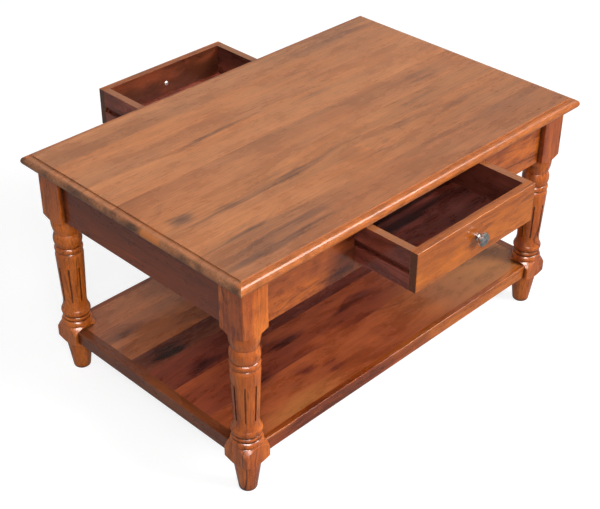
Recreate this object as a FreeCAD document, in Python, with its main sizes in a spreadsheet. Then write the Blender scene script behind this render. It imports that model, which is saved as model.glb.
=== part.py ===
import FreeCAD, Part
import os
import re
import Sketcher

# Coffee table with turned legs, a shelf of boards and a drawer on each long side.
# Frame: x along the length, -y is the front, z up; the origin is on the floor under the table's centre.

# Driving sizes in millimetres, angles in degrees.
SIZES = {
    # Top panel and its stepped, rounded edge
    "table_height": 478,
    "top_length": 900,
    "top_width": 580,
    "top_thickness": 22,
    "edge_margin": 16,
    "edge_step": 3,
    # Leg blank and where it stands under the top
    "leg_square": 57,
    "leg_inset": 20,
    "leg_arris": 1.5,
    # Turning below the upper block, from the top down
    "shoulder_rise": 3.5,
    "shoulder_length": 9,
    "cup_radius": 28.2,
    "cup_swell": 27.5,
    "cup_length": 30,
    "neck_radius": 23.3,
    "bead_radius": 27.4,
    "bead_length": 29,
    "ring_radius": 27.2,
    "ring_length": 12,
    "shaft_shoulder_swell": 26.4,
    "shaft_shoulder_length": 10,
    "shaft_top_radius": 27,
    "shaft_foot_radius": 22.8,
    # Rounded top of the lower block and the turning above it, from the block up
    "pommel_drop": 19.5,
    "pommel_length": 26,
    "pommel_swell": 38.6,
    "torus_seat_radius": 28,
    "torus_radius": 29.8,
    "torus_length": 12.5,
    "cove_radius": 22.6,
    "lower_ring_radius": 26.8,
    "lower_ring_length": 9,
    "collar_radius": 28.3,
    "collar_edge_radius": 26,
    "collar_length": 14.5,
    "flare_waist": 23.8,
    "flare_length": 16,
    # Foot below the lower block
    "foot_shoulder_length": 8,
    "foot_top_radius": 25.5,
    "foot_radius": 17,
    "foot_round": 5,
    # Flutes in the shaft
    "flute_angle": 8,
    "flute_depth": 2.5,
    "flute_top_gap": 22,
    "flute_foot_gap": 4,
    # Aprons and their tenons in the legs
    "apron_height": 102,
    "apron_thickness": 20,
    "apron_setback": 10,
    "apron_arris": 1.5,
    "tenon_thickness": 8,
    "tenon_length": 24,
    "tenon_shoulder": 15,
    "tenon_fit": 0.2,
    "mortise_room": 1,
    # Drawer case: opening, rail below it, cheeks beside it, stop across the middle
    "drawer_opening": 323,
    "rail_height": 21.5,
    "rail_tenon_length": 14,
    "rail_shoulder": 5,
    "cheek_thickness": 18,
    "stop_thickness": 18,
    "stop_height": 56,
    "stop_gap": 1,
    # Runners on the cheeks
    "runner_depth": 8,
    "runner_thickness": 12,
    "runner_height": 31,
    "runner_fit": 0.5,
    "runner_end_gap": 1,
    "runner_screw_inset": 30,
    # Countersunk wood screws
    "screw_radius": 2,
    "screw_head_radius": 3.9,
    "screw_head_height": 2.4,
    "screw_fit": 0.15,
    "screw_grip": 14,
    # Blocks under the top
    "block_section": 24,
    "block_length": 70,
    # Shelf frame, boards and joints
    "shelf_height": 104,
    "shelf_thickness": 28,
    "shelf_setback": 9,
    "shelf_arris": 2,
    "lipping_width": 12,
    "cleat_width": 19,
    "shelf_tenon_thickness": 6,
    "shelf_tenon_height": 14,
    "shelf_tenon_length": 15,
    "shelf_tenon_inset": 6,
    "board_thickness": 20,
    # Widths of the shelf boards from the front, kept in proportion to fill the field between the lippings
    "board_1_width": 103,
    "board_2_width": 47,
    "board_3_width": 51,
    "board_4_width": 73,
    "board_5_width": 50,
    "board_6_width": 45,
    "board_7_width": 61,
    "board_8_width": 68,
    # Joints of the boards
    "board_notch_gap": 0.3,
    "tongue_thickness": 8,
    "tongue_length": 8,
    # Drawers
    "drawer_side_gap": 1.5,
    "drawer_top_gap": 1.5,
    "drawer_rail_gap": 1,
    "drawer_arris": 1.5,
    "drawer_front_thickness": 16,
    "drawer_side_thickness": 16,
    "drawer_back_thickness": 14,
    "drawer_bottom_thickness": 6,
    "drawer_bottom_rise": 8,
    "drawer_bottom_groove": 6,
    "drawer_bottom_fit": 0.25,
    "front_drawer_pull": 137,
    "rear_drawer_pull": 179,
    # Knob and its screw
    "knob_base_radius": 7,
    "knob_base_height": 2,
    "knob_stem_radius": 4.5,
    "knob_stem_length": 7,
    "knob_rim_radius": 13.2,
    "knob_rim_height": 5,
    "knob_dome_height": 6.5,
    "knob_scallop_radius": 3.6,
    "knob_scallop_depth": 1.8,
    "knob_screw_radius": 2,
    "knob_screw_grip": 10,
    "knob_screw_head_radius": 4.8,
    "knob_screw_head_height": 3,
}
FLUTES = 8
SCALLOPS = 8
BOARDS = 8

# Places that follow from the sizes, written as formulas.
UNDERSIDE = "(table_height - top_thickness)"
APRON_FOOT = "(table_height - top_thickness - apron_height)"
LATHE_REACH = "(0.75 * leg_square)"  # a radius outside the corners of the leg blank
LEG_X = "(top_length / 2 - leg_inset - leg_square / 2)"
LEG_Y = "(top_width / 2 - leg_inset - leg_square / 2)"
BETWEEN_LEGS_X = "(top_length / 2 - leg_inset - leg_square)"
BETWEEN_LEGS_Y = "(top_width / 2 - leg_inset - leg_square)"
APRON_X = "(top_length / 2 - leg_inset - apron_setback)"
APRON_Y = "(top_width / 2 - leg_inset - apron_setback)"
SHELF_X = "(top_length / 2 - leg_inset - shelf_setback)"
SHELF_Y = "(top_width / 2 - leg_inset - shelf_setback)"
SHELF_FOOT = "(shelf_height - shelf_thickness)"
DRAWER_FOOT = f"({APRON_FOOT} + rail_height + drawer_rail_gap)"
DRAWER_HEIGHT = "(apron_height - rail_height - drawer_rail_gap - drawer_top_gap)"
DRAWER_WIDTH = "(drawer_opening - 2 * drawer_side_gap)"
DRAWER_LENGTH = f"({APRON_Y} - stop_thickness / 2 - stop_gap)"

doc = FreeCAD.newDocument("coffee_table")
sheet = doc.addObject("Spreadsheet::Sheet", "Sizes")
for row, (size_name, value) in enumerate(SIZES.items(), start=1):
    sheet.set(f"A{row}", size_name)
    sheet.set(f"B{row}", str(value))
    sheet.setAlias(f"B{row}", size_name)
doc.recompute()
pieces = []


def formula(text):
    """Expression in which every word, other than a function's name, is a size in the sheet."""
    return re.sub(r"\b[a-z]\w*\b(?!\()", lambda word: f"Sizes.{word.group()}", text)


def bind(thing, **sizes):
    for name, text in sizes.items():
        thing.setExpression(name, formula(text))


def place(thing, x="0", y="0", z="0", turn=0, tilt=0):
    """Tilt about x, then turn about z (degrees), then move to the bound position."""
    tilted = FreeCAD.Rotation(FreeCAD.Vector(1, 0, 0), tilt)
    turned = FreeCAD.Rotation(FreeCAD.Vector(0, 0, 1), turn)
    thing.Placement = FreeCAD.Placement(FreeCAD.Vector(), turned.multiply(tilted))
    for axis, text in (("x", x), ("y", y), ("z", z)):
        thing.setExpression(f"Placement.Base.{axis}", formula(text))


def new_piece(label):
    body = doc.addObject("PartDesign::Body", label)
    body.Label = label
    pieces.append(body)
    return body


def box(body, kind, size, at):
    """Adds ("Additive") or cuts ("Subtractive") a box given by its sizes and lowest corner."""
    feature = body.newObject(f"PartDesign::{kind}Box", f"{kind}Box")
    length, width, height = size
    bind(feature, Length=length, Width=width, Height=height)
    place(feature, *at)


def drill(body, radius, depth, at, turn=0, tilt=0):
    """Round hole that starts at a point and runs up z, or where tilt and turn point it."""
    hole = body.newObject("PartDesign::SubtractiveCylinder", "Hole")
    bind(hole, Radius=radius, Height=depth)
    place(hole, *at, turn=turn, tilt=tilt)


def countersink(body, at, turn=0, tilt=0):
    """Cone for a screw head; it starts wide at the surface and narrows inward."""
    cone = body.newObject("PartDesign::SubtractiveCone", "Countersink")
    bind(
        cone,
        Radius1="screw_head_radius + screw_fit",
        Radius2="screw_radius + screw_fit",
        Height="screw_head_height",
    )
    place(cone, *at, turn=turn, tilt=tilt)


def soften(body, radius, *arrises):
    """Rounds straight arrises of a box; each is given by its axis and the face it lies on."""
    doc.recompute()
    blank = body.Tip
    bounds = blank.Shape.BoundBox
    faces = {"-X": ("x", bounds.XMin), "+X": ("x", bounds.XMax), "-Y": ("y", bounds.YMin),
             "+Y": ("y", bounds.YMax), "-Z": ("z", bounds.ZMin), "+Z": ("z", bounds.ZMax)}
    chosen = set()
    for number, edge in enumerate(blank.Shape.Edges, start=1):
        start, end = (vertex.Point for vertex in edge.Vertexes)
        for along, face in arrises:
            axis, level = faces[face]
            parallel = abs(getattr(end - start, along.lower())) > edge.Length / 2
            if parallel and abs(getattr(edge.CenterOfMass, axis) - level) < bounds.DiagonalLength * 1e-6:
                chosen.add(f"Edge{number}")
    rounding = body.newObject("PartDesign::Fillet", "Arris")
    rounding.Base = (blank, sorted(chosen))
    bind(rounding, Radius=radius)


def origin_part(body, role):
    return next(part for part in body.Origin.OriginFeatures if part.Role == role)


def new_sketch(body, plane):
    sketch = body.newObject("Sketcher::SketchObject", "Outline")
    sketch.AttachmentSupport = [(origin_part(body, plane), "")]
    sketch.MapMode = "FlatFace"
    return sketch


def draw(sketch, outline):
    """Closed outline of (across, up, swell) corners, every corner held by two bound dimensions.

    A swell is the (across, up) point that an arc to the next corner passes through; None is a line.
    """
    def value(corner):
        return FreeCAD.Vector(*(sheet.evalExpression(formula(text)) for text in corner))

    def hold(geometry, end, corner):
        for kind, text in zip(("DistanceX", "DistanceY"), corner):
            size = sheet.evalExpression(formula(text))
            number = sketch.addConstraint(Sketcher.Constraint(kind, -1, 1, geometry, end, size))
            sketch.setExpression(f"Constraints[{number}]", formula(text))

    sides = []
    for index, (across, up, swell) in enumerate(outline):
        next_across, next_up, _ = outline[(index + 1) % len(outline)]
        start, end = value((across, up)), value((next_across, next_up))
        line = Part.Arc(start, value(swell), end) if swell else Part.LineSegment(start, end)
        side = sketch.addGeometry(line)
        first = 1 if sketch.getPoint(side, 1).distanceToPoint(start) < 1e-6 else 2
        sides.append((side, first))
    for index, (across, up, swell) in enumerate(outline):
        side, first = sides[index]
        before, before_first = sides[index - 1]
        sketch.addConstraint(Sketcher.Constraint("Coincident", before, 3 - before_first, side, first))
        hold(side, first, (across, up))
        if swell:
            point = sketch.addGeometry(Part.Point(value(swell)), True)
            sketch.addConstraint(Sketcher.Constraint("PointOnObject", point, 1, side))
            hold(point, 1, swell)
    doc.recompute()


def turn_about_axis(body, kind, outlines, at=("0", "0", "0"), **sizes):
    """Revolution or Groove of outlines drawn as radius across and height up, about an upright axis."""
    sketch = new_sketch(body, "XZ_Plane")
    for direction, text in zip("xzy", (at[0], f"-({at[1]})", at[2])):
        sketch.setExpression(f"AttachmentOffset.Base.{direction}", formula(text))
    for outline in outlines:
        draw(sketch, outline)
    feature = body.newObject(f"PartDesign::{kind}", kind)
    feature.Profile = sketch
    feature.ReferenceAxis = (sketch, ["V_Axis"])
    bind(feature, **sizes)
    return feature


def repeat_round(body, feature, count):
    """The feature repeated evenly about the z axis."""
    pattern = body.newObject("PartDesign::PolarPattern", "Round")
    pattern.Originals = [feature]
    pattern.Axis = (origin_part(body, "Z_Axis"), [""])
    pattern.Angle = 360
    pattern.Occurrences = count
    body.Tip = pattern


def mould_edges(body, plane, mirror_plane, half, run):
    """Cuts the stepped, half-round edge along two opposite sides of the top."""
    nose = "(top_thickness - edge_step) / 2"
    above, below, beyond = "top_thickness + edge_step", "-edge_step", f"{half} + edge_step"
    sketch = new_sketch(body, plane)
    draw(sketch, [
        (f"{half} - edge_margin", above, None),
        (f"{half} - edge_margin", "top_thickness - edge_step", None),
        (f"{half} - {nose}", "top_thickness - edge_step", (half, nose)),
        (f"{half} - {nose}", "0", None),
        (f"{half} - {nose}", below, None),
        (beyond, below, None),
        (beyond, above, None),
    ])
    waste = body.newObject("PartDesign::Pocket", "Moulding")
    waste.Profile = sketch
    waste.SideType = "Symmetric"
    bind(waste, Length=f"2 * {run}")
    mirrored = body.newObject("PartDesign::Mirrored", "OtherSide")
    mirrored.Originals = [waste]
    mirrored.MirrorPlane = (origin_part(body, mirror_plane), [""])
    body.Tip = mirrored
    doc.recompute()


# Top blocks: name, centre x and y, turn. One screw goes up through the middle of each into the top.
LONG_BLOCK_X = f"(drawer_opening / 2 + cheek_thickness + {BETWEEN_LEGS_X}) / 2"
LONG_BLOCK_Y = f"({APRON_Y} - apron_thickness - block_section / 2)"
END_BLOCK_X = f"({APRON_X} - apron_thickness - block_section / 2)"
TOP_BLOCKS = [
    ("front_left_top_block", f"-{LONG_BLOCK_X}", f"-{LONG_BLOCK_Y}", 0),
    ("front_right_top_block", LONG_BLOCK_X, f"-{LONG_BLOCK_Y}", 0),
    ("rear_left_top_block", f"-{LONG_BLOCK_X}", LONG_BLOCK_Y, 0),
    ("rear_right_top_block", LONG_BLOCK_X, LONG_BLOCK_Y, 0),
    ("left_top_block", f"-{END_BLOCK_X}", "0", 90),
    ("right_top_block", END_BLOCK_X, "0", 90),
]


def table_top():
    """One panel with the moulded edge on all four sides and screw holes in its underside."""
    body = new_piece("table_top")
    box(body, "Additive", ("top_length", "top_width", "top_thickness"),
        ("-top_length / 2", "-top_width / 2", "0"))
    mould_edges(body, "YZ_Plane", "XZ_Plane", "top_width / 2", "top_length")
    mould_edges(body, "XZ_Plane", "YZ_Plane", "top_length / 2", "top_width")
    for _, x, y, _ in TOP_BLOCKS:
        drill(body, "screw_radius + screw_fit", "screw_grip + screw_fit", (x, y, "0"))
    place(body, z=UNDERSIDE)


def steps(start, way, radii):
    """Corners of a turning from a start height, down ("-") or up ("+").

    Each step is (radius reached, length, radius of the swell half way or None).
    """
    radius, height = LATHE_REACH, start
    corners = []
    for next_radius, length, swell in radii:
        middle = (swell, f"{height} {way} {length} / 2") if swell else None
        corners.append((radius, height, middle))
        radius, height = next_radius, f"{height} {way} {length}"
    return corners, (radius, height)


def upward(corners, last):
    """The same corners listed from the last one back to the first."""
    backward = [(*last, None)] + [(across, up, None) for across, up, _ in reversed(corners)]
    swells = [swell for _, _, swell in reversed(corners)]
    return [(across, up, swell) for (across, up, _), swell in zip(backward, swells + [None])]


def leg(label, x, y, turn):
    """Square blank, turned on the lathe between and below its two blocks, then fluted and mortised."""
    body = new_piece(label)
    half = "leg_square / 2"
    box(body, "Additive", ("leg_square", "leg_square", UNDERSIDE), (f"-{half}", f"-{half}", "0"))
    soften(body, "leg_arris", ("Z", "-X"), ("Z", "+X"))

    upper, shaft_top = steps(f"{APRON_FOOT} + shoulder_rise", "-", [
        ("cup_radius", "shoulder_length", None),
        ("neck_radius", "cup_length", "cup_swell"),
        ("neck_radius", "bead_length", "bead_radius"),
        ("neck_radius", "ring_length", "ring_radius"),
        ("shaft_top_radius", "shaft_shoulder_length", "shaft_shoulder_swell"),
    ])
    lower, shaft_foot = steps("shelf_height - pommel_drop", "+", [
        ("torus_seat_radius", "pommel_length", "pommel_swell"),
        ("cove_radius", "torus_length", "torus_radius"),
        ("cove_radius", "lower_ring_length", "lower_ring_radius"),
        ("collar_edge_radius", "collar_length", "collar_radius"),
        ("shaft_foot_radius", "flare_length", "flare_waist"),
    ])
    middle_turning = upper + [(*shaft_top, None)] + upward(lower, shaft_foot)
    foot, foot_top = steps(SHELF_FOOT, "-", [("foot_top_radius", "foot_shoulder_length", None)])
    sole = "foot_radius - foot_round"
    foot_bend = (f"{sole} + foot_round * sqrt(0.5)", "foot_round * (1 - sqrt(0.5))")
    foot_turning = foot + [
        (*foot_top, None),
        ("foot_radius", "foot_round", foot_bend),
        (sole, "0", None),
        (LATHE_REACH, "0", None),
    ]
    turn_about_axis(body, "Groove", [middle_turning, foot_turning], Angle="360")

    shaft_length = f"({shaft_top[1]} - ({shaft_foot[1]}))"
    taper = f"(shaft_top_radius - shaft_foot_radius) / {shaft_length}"
    flute_top = f"{shaft_top[1]} - flute_top_gap"
    flute_foot = f"{shaft_foot[1]} + flute_foot_gap"
    flute = turn_about_axis(body, "Groove", [[
        (f"shaft_top_radius - flute_depth - flute_top_gap * {taper}", flute_top, None),
        (LATHE_REACH, flute_top, None),
        (LATHE_REACH, flute_foot, None),
        (f"shaft_foot_radius - flute_depth + flute_foot_gap * {taper}", flute_foot, None),
    ]], Angle="flute_angle")
    flute.Midplane = True
    repeat_round(body, flute, FLUTES)

    deep, thick = "tenon_length + mortise_room", "tenon_thickness + 2 * tenon_fit"
    tall = "apron_height - 2 * tenon_shoulder + 2 * tenon_fit"
    across = f"apron_setback + apron_thickness / 2 - {half} - ({thick}) / 2"
    foot_of = f"{APRON_FOOT} + tenon_shoulder - tenon_fit"
    box(body, "Subtractive", (deep, thick, tall), (f"{half} - ({deep})", across, foot_of))
    box(body, "Subtractive", (thick, deep, tall), (across, f"{half} - ({deep})", foot_of))

    deep, thick = "shelf_tenon_length + mortise_room", "shelf_tenon_thickness + 2 * tenon_fit"
    tall = "shelf_tenon_height + 2 * tenon_fit"
    across = f"shelf_setback + shelf_tenon_inset - {half} - ({thick}) / 2"
    foot_of = f"{SHELF_FOOT} + (shelf_thickness - shelf_tenon_height) / 2 - tenon_fit"
    box(body, "Subtractive", (deep, thick, tall), (f"{half} - ({deep})", across, foot_of))
    box(body, "Subtractive", (thick, deep, tall), (across, f"{half} - ({deep})", foot_of))
    place(body, x, y, "0", turn)


def end_apron(label, x):
    """Board between two legs on a short side, with a tenon at each end."""
    body = new_piece(label)
    box(body, "Additive", ("apron_thickness", f"2 * {BETWEEN_LEGS_Y}", "apron_height"),
        ("-apron_thickness / 2", f"-{BETWEEN_LEGS_Y}", "0"))
    soften(body, "apron_arris", ("Y", "-Z"))
    tenon = ("tenon_thickness", "tenon_length", "apron_height - 2 * tenon_shoulder")
    box(body, "Additive", tenon, ("-tenon_thickness / 2", BETWEEN_LEGS_Y, "tenon_shoulder"))
    box(body, "Additive", tenon,
        ("-tenon_thickness / 2", f"-{BETWEEN_LEGS_Y} - tenon_length", "tenon_shoulder"))
    place(body, x, "0", APRON_FOOT)


def side_apron(label, x, y, turn):
    """Panel from the drawer opening to a leg: tenon at the leg, mortise for the drawer rail."""
    body = new_piece(label)
    length = f"{BETWEEN_LEGS_X} - drawer_opening / 2"
    box(body, "Additive", (length, "apron_thickness", "apron_height"), ("0", "-apron_thickness / 2", "0"))
    soften(body, "apron_arris", ("X", "-Z"))
    box(body, "Additive", ("tenon_length", "tenon_thickness", "apron_height - 2 * tenon_shoulder"),
        (length, "-tenon_thickness / 2", "tenon_shoulder"))
    box(body, "Subtractive",
        ("rail_tenon_length + mortise_room", "tenon_thickness + 2 * tenon_fit",
         "rail_height - 2 * rail_shoulder + 2 * tenon_fit"),
        ("0", "-tenon_thickness / 2 - tenon_fit", "rail_shoulder - tenon_fit"))
    place(body, x, y, APRON_FOOT, turn)


def drawer_rail(label, y):
    """Strip under a drawer, tenoned into the panels on both sides of the opening."""
    body = new_piece(label)
    box(body, "Additive", ("drawer_opening", "apron_thickness", "rail_height"),
        ("-drawer_opening / 2", "-apron_thickness / 2", "0"))
    soften(body, "apron_arris", ("X", "-Z"))
    tenon = ("rail_tenon_length", "tenon_thickness", "rail_height - 2 * rail_shoulder")
    box(body, "Additive", tenon, ("drawer_opening / 2", "-tenon_thickness / 2", "rail_shoulder"))
    box(body, "Additive", tenon,
        ("-drawer_opening / 2 - rail_tenon_length", "-tenon_thickness / 2", "rail_shoulder"))
    place(body, "0", y, APRON_FOOT)


# Runners reach from behind the closed drawer's front to the stop; two screws hold each to its cheek.
RUNNER_LENGTH = f"({DRAWER_LENGTH} - drawer_front_thickness - 2 * runner_end_gap)"
RUNNER_Y = f"(({APRON_Y} - drawer_front_thickness + stop_thickness / 2 + stop_gap) / 2)"
RUNNER_Z = f"({DRAWER_FOOT} + runner_height)"
RUNNER_SCREW_Y = f"({RUNNER_LENGTH} / 2 - runner_screw_inset)"


def cheek(label, x, turn):
    """Board from front to rear beside the drawers; its drawer face is at local x = 0."""
    body = new_piece(label)
    half_run = f"({APRON_Y} - apron_thickness)"
    box(body, "Additive", ("cheek_thickness", f"2 * {half_run}", "apron_height"),
        ("-cheek_thickness", f"-{half_run}", "0"))
    for side in ("-", "+"):
        for way in ("-", "+"):
            drill(body, "screw_radius + screw_fit", "screw_grip + screw_fit",
                  ("0", f"{side} {RUNNER_Y} {way} {RUNNER_SCREW_Y}",
                   f"{RUNNER_Z} - {APRON_FOOT} + runner_thickness / 2"), turn=-90, tilt=90)
    place(body, x, "0", APRON_FOOT, turn)


def runner(label, x, y, turn):
    """Hardwood strip on a cheek that the groove of a drawer side slides on."""
    body = new_piece(label)
    box(body, "Additive", ("runner_depth", RUNNER_LENGTH, "runner_thickness"),
        ("0", f"-{RUNNER_LENGTH} / 2", "0"))
    for way in ("-", "+"):
        at = ("runner_depth", f"{way} {RUNNER_SCREW_Y}", "runner_thickness / 2")
        drill(body, "screw_radius + screw_fit", "runner_depth", at, turn=-90, tilt=90)
        countersink(body, at, turn=-90, tilt=90)
    place(body, x, y, RUNNER_Z, turn)


def drawer_stop():
    """Board across the middle, between the cheeks."""
    body = new_piece("drawer_stop")
    box(body, "Additive", ("drawer_opening", "stop_thickness", "stop_height"),
        ("-drawer_opening / 2", "-stop_thickness / 2", "0"))
    place(body, "0", "0", f"{DRAWER_FOOT} + ({DRAWER_HEIGHT} - stop_height) / 2")


def top_block(label, x, y, turn):
    """Glue block in the corner of apron and top, drilled and countersunk from below."""
    body = new_piece(label)
    box(body, "Additive", ("block_length", "block_section", "block_section"),
        ("-block_length / 2", "-block_section / 2", "0"))
    drill(body, "screw_radius + screw_fit", "block_section", ("0", "0", "0"))
    countersink(body, ("0", "0", "0"))
    place(body, x, y, f"{UNDERSIDE} - block_section", turn)


def wood_screws(label, through, spots):
    """Group of countersunk screws; a spot is the head's middle and how the screw points from z up."""
    screws = []
    for x, y, z, turn, tilt in spots:
        head = doc.addObject("Part::Cone", "ScrewHead")
        bind(head, Radius1="screw_head_radius", Radius2="screw_radius", Height="screw_head_height")
        shank = doc.addObject("Part::Cylinder", "ScrewShank")
        bind(shank, Radius="screw_radius", Height=f"{through} + screw_grip")
        screw = doc.addObject("Part::Fuse", "Screw")
        screw.Base = head
        screw.Tool = shank
        screw.Refine = True
        place(screw, x, y, z, turn, tilt)
        screws.append(screw)
    group = doc.addObject("Part::Compound", label)
    group.Label = label
    group.Links = screws
    pieces.append(group)


def shelf_edge(label, x, y, turn, half_length, width, grooved):
    """Lipping or cleat between two legs; the outer face is local y = 0, the ends are tenoned."""
    body = new_piece(label)
    box(body, "Additive", (f"2 * {half_length}", width, "shelf_thickness"), (f"-{half_length}", "0", "0"))
    soften(body, "shelf_arris", ("X", "-Y"))
    tenon = ("shelf_tenon_length", "shelf_tenon_thickness", "shelf_tenon_height")
    across = "shelf_tenon_inset - shelf_tenon_thickness / 2"
    up = "(shelf_thickness - shelf_tenon_height) / 2"
    box(body, "Additive", tenon, (half_length, across, up))
    box(body, "Additive", tenon, (f"-{half_length} - shelf_tenon_length", across, up))
    if grooved:
        box(body, "Subtractive",
            (f"2 * {half_length}", "tongue_length + mortise_room", "tongue_thickness + 2 * tenon_fit"),
            (f"-{half_length}", f"{width} - tongue_length - mortise_room",
             "shelf_thickness - (board_thickness + tongue_thickness) / 2 - tenon_fit"))
    place(body, x, y, SHELF_FOOT, turn)


BOARD_FIELD_X = f"({SHELF_X} - cleat_width)"
BOARD_FIELD_Y = f"({SHELF_Y} - lipping_width)"


def boards_up_to(number):
    """Width of the field taken by the boards from the front up to and with this one."""
    widths = [f"board_{count}_width" for count in range(1, BOARDS + 1)]
    taken = " + ".join(widths[:number]) or "0"
    return f"(2 * {BOARD_FIELD_Y} * ({taken}) / ({' + '.join(widths)}))"


NOTCH_X = f"({BETWEEN_LEGS_X} - board_notch_gap)"
NOTCH_Y = f"({BOARD_FIELD_Y} - {BETWEEN_LEGS_Y} + board_notch_gap)"


def notch_corners(body):
    """Strip along the inner corners of both notches, hollowed to the rounded tops of the lower blocks."""
    half_leg = "leg_square / 2"
    box(body, "Additive", (f"2 * ({NOTCH_X} + {half_leg})", half_leg, "board_thickness"),
        (f"-{NOTCH_X} - {half_leg}", f"{NOTCH_Y} - {half_leg}", "0"))
    wide = f"({LATHE_REACH} + board_notch_gap)"
    hollow = [
        ("0", "0", None),
        (wide, "0", None),
        (wide, "board_thickness", ("pommel_swell + board_notch_gap", "board_thickness + pommel_length / 2")),
        ("torus_seat_radius + board_notch_gap", "board_thickness + pommel_length", None),
        ("0", "board_thickness + pommel_length", None),
    ]
    for leg_x in (f"-{LEG_X}", LEG_X):
        axis_foot = (leg_x, f"{BOARD_FIELD_Y} - {LEG_Y}", "-pommel_drop")
        turn_about_axis(body, "Groove", [hollow], axis_foot, Angle="360")


def shelf_board(number):
    """Lengthwise board tongued into the cleats; the outermost two are notched round the legs."""
    body = new_piece(f"shelf_board_{number}")
    width = f"{boards_up_to(number)} - {boards_up_to(number - 1)}"
    front = "0"
    if number in (1, BOARDS):
        notch_corners(body)
        box(body, "Additive", (f"2 * {NOTCH_X}", width, "board_thickness"), (f"-{NOTCH_X}", "0", "0"))
        front = NOTCH_Y
    box(body, "Additive", (f"2 * {BOARD_FIELD_X}", f"{width} - {front}", "board_thickness"),
        (f"-{BOARD_FIELD_X}", front, "0"))
    tongue = (f"2 * ({BOARD_FIELD_X} + tongue_length)", f"{width} - {front}", "tongue_thickness")
    box(body, "Additive", tongue,
        (f"-{BOARD_FIELD_X} - tongue_length", front, "(board_thickness - tongue_thickness) / 2"))
    up = "shelf_height - board_thickness"
    if number == BOARDS:
        place(body, "0", BOARD_FIELD_Y, up, 180)
    else:
        place(body, "0", f"{boards_up_to(number - 1)} - {BOARD_FIELD_Y}", up)


def cap_middle(radius, rise):
    """Point of a round cap's section half way out: its radius and its drop below the cap's top."""
    ball = f"(({radius} ^ 2 + {rise} ^ 2) / (2 * {rise}))"
    return f"{radius} / 2", f"({ball} - sqrt({ball} ^ 2 - {radius} ^ 2 / 4))"


def knob(label):
    """Cast metal knob: base, waisted stem and a domed head with a scalloped rim; z points outward."""
    body = new_piece(label)
    head = "(knob_base_height + knob_stem_length)"
    rim = f"{head} + knob_rim_height"
    top = f"{rim} + knob_dome_height"
    out, drop = cap_middle("knob_rim_radius", "knob_dome_height")
    turn_about_axis(body, "Revolution", [[
        ("0", "0", None),
        ("knob_base_radius", "0", None),
        ("knob_base_radius", "knob_base_height", ("knob_stem_radius", f"({head} + knob_base_height) / 2")),
        ("knob_base_radius", head, None),
        ("knob_rim_radius", f"{head} + knob_rim_height / 2", None),
        ("knob_rim_radius", rim, (out, f"{top} - {drop}")),
        ("0", top, None),
    ]], Angle="360")
    scallop = body.newObject("PartDesign::SubtractiveCylinder", "Scallop")
    bind(scallop, Radius="knob_scallop_radius", Height=top)
    place(scallop, "knob_rim_radius + knob_scallop_radius - knob_scallop_depth", "0", "0")
    repeat_round(body, scallop, SCALLOPS)
    drill(body, "knob_screw_radius + screw_fit", "knob_screw_grip + screw_fit", ("0", "0", "0"))
    return body


def knob_screw(label):
    """Domed screw from inside the drawer; its head starts at z = 0 and the shank points up z."""
    body = new_piece(label)
    tip = "knob_screw_head_height + drawer_front_thickness + knob_screw_grip"
    turn_about_axis(body, "Revolution", [[
        ("0", "0", cap_middle("knob_screw_head_radius", "knob_screw_head_height")),
        ("knob_screw_head_radius", "knob_screw_head_height", None),
        ("knob_screw_radius", "knob_screw_head_height", None),
        ("knob_screw_radius", tip, None),
        ("0", tip, None),
    ]], Angle="360")
    return body


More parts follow.
